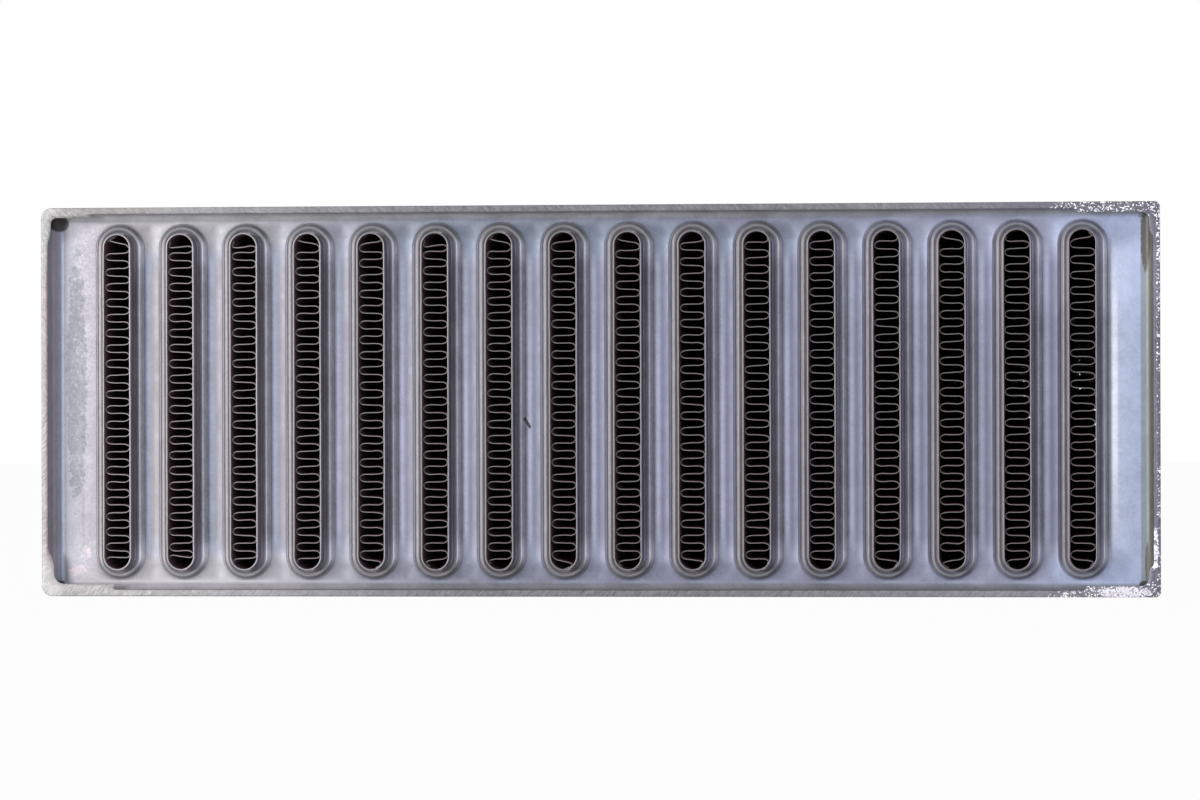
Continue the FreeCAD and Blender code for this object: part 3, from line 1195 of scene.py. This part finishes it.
@dataclass
class Tubes:
    """The sixteen flat tubes."""

    tree: ShapeTree
    finish: bpy.types.Material
    path: list
    wall: float = 0.45
    lip: float = 0.12
    uneven: float = 0.22

    def section(self) -> list:
        """The wall's section, all the way round.

        Returns:
            Points of outward place, depth and softness.
        """
        top = TUBE_END_Y - self.lip
        lip = (self.lip, self.lip)
        right = [(*p, 1.0) for p in arc((-self.lip, top), lip, 0.0, 90.0, 2)]
        right += [(*p, 1.0) for p in arc((self.lip - self.wall, top), lip, 90.0, 180.0, 2)]
        inner = [(-self.wall, 125.5, 0.7), (-self.wall, 121.0, 0.0)]
        half = [(0.0, 121.0, 0.0), (0.0, 124.5, 0.6)] + right + inner
        mirrored = [(outward, -depth, soft) for outward, depth, soft in reversed(half)]
        return half + mirrored + half[:1]

    def build(self) -> None:
        """Builds the tubes."""
        section = section_chain("tube_section", self.section())
        flat = [0.0] * len(self.path)
        sizes = {
            "Half Width": TUBE_HALF_WIDTH, "Half Height": TUBE_HALF_HEIGHT, "Corner": TUBE_HALF_WIDTH,
            "Uneven": self.uneven,
        }
        for number in range(TUBE_COUNT):
            start = chain("tube_path", self.path, weld=flat, corner=flat, spread=flat)
            placed = stand(row_x(number, TUBE_COUNT), Lay.ALONG_TUBES.value, self.finish)
            settings = {**metres(sizes), **placed, "Seed": 11.0 * number, "Section": section}
            name = f"tube_{number + 1:02d}"
            keep(grown(start, "flat_" + name, self.tree, settings), name)
        drop(section)


@dataclass
class FoldedStrips:
    """Strips folded to and fro: the turbulators in the tubes, or the air fins between them.

    The ends say for each strip its hand, how far its last leg lifts and how far its first leg drops.
    """

    tree: ShapeTree
    finish: bpy.types.Material
    node: str
    count: int
    lay: Lay
    legs: int
    points: int
    width: float
    length: float
    depth: float
    sheet: float
    fold_reach: float
    straight: float
    uneven: float = 0.0
    bow: float = 0.0
    ends: tuple = ()

    def build(self) -> None:
        """Builds the strips."""
        reach = (self.width - self.sheet) / 2
        for number in range(self.count):
            hand, lift, low = self.ends[number] if self.ends else (1, 0.0, 0.0)
            sizes = {
                "Reach": hand * reach, "Length": self.length, "Fold Reach": hand * self.fold_reach,
                "Sheet": self.sheet, "Depth": self.depth, "Uneven": self.uneven, "Bow": self.bow,
                "Straight": self.straight, "Lift": lift, "Drop": low,
            }
            placed = stand(row_x(number, self.count), self.lay.value, self.finish)
            counts = {"Legs": self.legs, "Points": self.points, "Seed": 7.3 * number + 1.0}
            start = chain("strip_start", [(0.0, 0.0, 0.0)])
            name = f"{self.node}_{number + 1:02d}"
            piece = grown(start, "folded_" + name, self.tree, {**metres(sizes), **placed, **counts})
            keep(piece, name)


@dataclass
class SidePlates:
    """The two folded channels that close the stack."""

    tree: ShapeTree
    finish: bpy.types.Material
    inner: float = 149.0
    outer: float = 154.5
    half_height: float = 47.3
    sheet: float = 1.5
    fold: float = 2.2
    depth: float = 239.9

    def build(self) -> None:
        """Builds the plates."""
        web = self.inner + self.sheet / 2
        reach = self.half_height - self.sheet / 2
        corners = ((self.outer, -reach), (web, -reach), (web, reach), (self.outer, reach))
        settings = {
            **metres({"Fold": self.fold, "Sheet": self.sheet, "Depth": self.depth}),
            **stand(0.0, Lay.ALONG_TUBES.value, self.finish),
        }
        for sign, word in ((-1, "left"), (1, "right")):
            start = chain("channel_path", [(sign * x * MM, z * MM, 0.0) for x, z in corners])
            name = f"side_plate_{word}"
            keep(grown(start, "folded_" + name, self.tree, settings), name)


# ---- Studio


def seen_share(graph: Graph) -> Value:
    """Tells rays that show a thing from rays that only gather light.

    Args:
        graph: The material's or the world's tree.

    Returns:
        1 where a ray comes from the camera, a mirror or glass, and 0 elsewhere.
    """
    rays = ("Camera", "Glossy", "Transmission")
    seen, mirrored, through = (graph.node("ShaderNodeLightPath", {}, {}, f"Is {ray} Ray") for ray in rays)
    return seen.most(mirrored).most(through)


@dataclass
class Studio:
    """Floor, light and camera."""

    stand: tuple = (0.1491, -1.5786, 0.0547)
    azimuth: float = 5.815
    roll: float = -0.153
    lens: float = 157.36
    target: tuple = (0.0, -0.1286, 0.0545)
    ambient: float = 0.45
    whitening: float = 0.96

    def world(self) -> None:
        """A plain surround that is white where it is seen or mirrored."""
        world = bpy.data.worlds.new("studio")
        bpy.context.scene.world = world
        world.use_nodes = True
        graph = Graph(world.node_tree)
        background = world.node_tree.nodes["Background"]
        graph.put(background.inputs["Color"], (1.0, 1.0, 1.0, 1.0))
        graph.put(background.inputs["Strength"], seen_share(graph) * (1.0 - self.ambient) + self.ambient)

    def floor(self) -> None:
        """A pale floor that shows white but for the core's shadow."""
        half = 3.0
        mesh = bpy.data.meshes.new("floor")
        corners = [(-half, -half, 0.0), (half, -half, 0.0), (half, half, 0.0), (-half, half, 0.0)]
        mesh.from_pydata(corners, [], [(0, 1, 2, 3)])
        floor = bpy.data.objects.new("floor", mesh)
        bpy.context.scene.collection.objects.link(floor)
        material = bpy.data.materials.new("floor")
        material.use_nodes = True
        graph = Graph(material.node_tree)
        material.node_tree.nodes.remove(material.node_tree.nodes["Principled BSDF"])
        matt = graph.node("ShaderNodeBsdfDiffuse", {}, {"Color": (0.86, 0.86, 0.87, 1.0)})
        white = graph.node("ShaderNodeEmission", {}, {"Color": (1.0, 1.0, 1.0, 1.0), "Strength": 1.0})
        mixed = graph.node("ShaderNodeMixShader", {}, {0: seen_share(graph) * self.whitening, 1: matt, 2: white})
        graph.put(graph.tree.nodes["Material Output"].inputs["Surface"], mixed)
        mesh.materials.append(material)

    def lamp(self, name: str, place: tuple, size: float, power: float, colour: tuple) -> None:
        """A square soft lamp that faces the front header.

        Args:
            name: Its name.
            place: Where it hangs, in metres.
            size: Its side, in metres.
            power: Its power, in watts.
            colour: Its colour.
        """
        data = bpy.data.lights.new(name, "AREA")
        data.shape = "SQUARE"
        data.size = size
        data.energy = power
        data.color = colour
        lamp = bpy.data.objects.new(name, data)
        lamp.location = place
        aim = Vector(self.target) - Vector(place)
        lamp.rotation_euler = aim.to_track_quat("-Z", "Y").to_euler()
        bpy.context.scene.collection.objects.link(lamp)

    def camera(self) -> None:
        """The camera, square to the header but for a small turn."""
        data = bpy.data.cameras.new("camera")
        data.lens = self.lens
        data.sensor_width = 36.0
        data.clip_start, data.clip_end = 0.05, 50.0
        camera = bpy.data.objects.new("camera", data)
        turn = math.radians(self.azimuth)
        back = Vector((math.sin(turn), -math.cos(turn), 0.0))
        camera.location = self.stand
        facing = (-back).to_track_quat("-Z", "Y").to_matrix().to_4x4()
        tilt = Matrix.Rotation(math.radians(self.roll), 4, "Z")
        camera.rotation_euler = (facing @ tilt).to_euler()
        bpy.context.scene.collection.objects.link(camera)
        bpy.context.scene.camera = camera

    def build(self) -> None:
        """Sets up the studio."""
        self.world()
        self.floor()
        self.lamp("left_panel", (-1.1, -2.03, 0.25), 0.5, 30.0, (1.0, 0.98, 0.98))
        self.lamp("front_panel", (0.1, -2.2, 0.35), 1.5, 8.0, (0.97, 0.98, 1.0))
        self.camera()
        view = bpy.context.scene.view_settings
        view.view_transform = "Standard"


def main() -> None:
    """Builds the core and the studio."""
    logging.basicConfig(level=logging.INFO, format="%(message)s")
    Studio().build()
    welds = (
        Weld(-154.5, 107.2, 11.8, 8.0, 1.0),
        Weld(-154.5, 1.8, 18.5, 11.0, 1.7),
        Weld(154.5, 107.2, 22.0, 8.0, 1.2),
        Weld(154.5, 1.8, 19.0, 7.0, 1.4),
    )
    marks = {
        # Dark pockets at the rim's corners, painted as shadow, and a scratch on the floor.
        "shadow_pockets_and_scratches": (
            Spot(-152.4, 104.7, 2.7, 2.2), Spot(-153.0, 3.2, 2.0, 1.0), Spot(151.8, 3.2, 1.4, 1.2),
            Spot(-155.6, 10.9, 0.5, 0.6), Spot(-20.3, 49.4, 0.4, 0.55), Spot(-19.8, 48.6, 0.4, 0.6),
            Spot(-19.4, 47.9, 0.4, 0.6), Spot(-19.0, 47.3, 0.35, 0.5),
        ),
        "shades": (Spot(152.3, 99.0, 1.3, 9.0), Spot(152.6, 9.0, 0.6, 6.0)),
        "hatch_glints": (Spot(-131.0, 1.6, 8.0, 1.3), Spot(-146.0, 1.9, 7.0, 1.6), Spot(-151.0, 107.2, 5.0, 1.5)),
        "pale_marks": (Spot(-147.5, 7.2, 2.2, 1.6), Spot(-144.3, 11.7, 0.7, 1.5)),
        "glint_patches": (Spot(146.0, 1.3, 7.5, 1.5), Spot(154.7, 13.5, 0.9, 5.5)),
        "dull_marks": (Spot(-147.6, 60.0, 2.8, 34.0),),
    }
    plate_colour = (0.215, 0.21, 0.22)
    front = PlateFinish("brazed_plate_front", plate_colour, 0.45, 0.35, **marks).make()
    rear = PlateFinish("brazed_plate_rear", plate_colour, 0.45, 0.35, marked=False).make()
    headers = HeaderPlates(header_tree(), welds=welds, finishes={Side.FRONT: front, Side.REAR: rear})
    headers.build()
    path, _ = headers.collar_path()
    tube_finish = EdgeFinish("tube_metal", (0.25, 0.235, 0.26), 0.4, 0.4, only_within=True).make()
    Tubes(tube_tree(), tube_finish, path).build()
    strips = strip_tree()
    free_ends = (
        (-1, 2.2, -0.6), (-1, -1.3, -1.4), (-1, -1.3, 0.0), (-1, 1.5, 0.0), (1, 1.2, 1.5), (-1, -1.4, 1.2),
        (-1, 1.8, 0.5), (1, 1.0, 2.3), (-1, 1.2, 1.2), (1, 0.3, 1.0), (1, 0.0, 0.3), (1, 0.5, 0.5),
        (1, 0.3, 1.0), (-1, 1.5, 1.5), (-1, -0.3, 0.6), (1, 1.8, 1.0),
    )
    strip_colour = (0.21, 0.195, 0.20)
    turbulator = EdgeFinish("turbulator_metal", strip_colour, 0.5, 0.35, lit_depth=125.6, dark_depth=126.2).make()
    FoldedStrips(
        strips, turbulator, "turbulator", TUBE_COUNT, Lay.ALONG_TUBES, legs=42, points=15, width=6.96, length=90.0,
        depth=252.6, sheet=0.22, fold_reach=1.7, straight=43.3, uneven=0.45, bow=2.0, ends=free_ends,
    ).build()
    fin = SheetFinish("fin_metal", (0.60, 0.60, 0.62), 0.4, 0.7).make()
    FoldedStrips(
        strips, fin, "air_fin", TUBE_COUNT + 1, Lay.UPRIGHT, legs=142, points=9, width=9.9, length=234.0,
        depth=92.6, sheet=0.12, fold_reach=0.8, straight=200.0,
    ).build()
    plate = SheetFinish("side_plate_metal", (0.58, 0.58, 0.60), 0.42, 0.6).make()
    SidePlates(channel_tree(), plate).build()


if __name__ == "__main__":
    main()
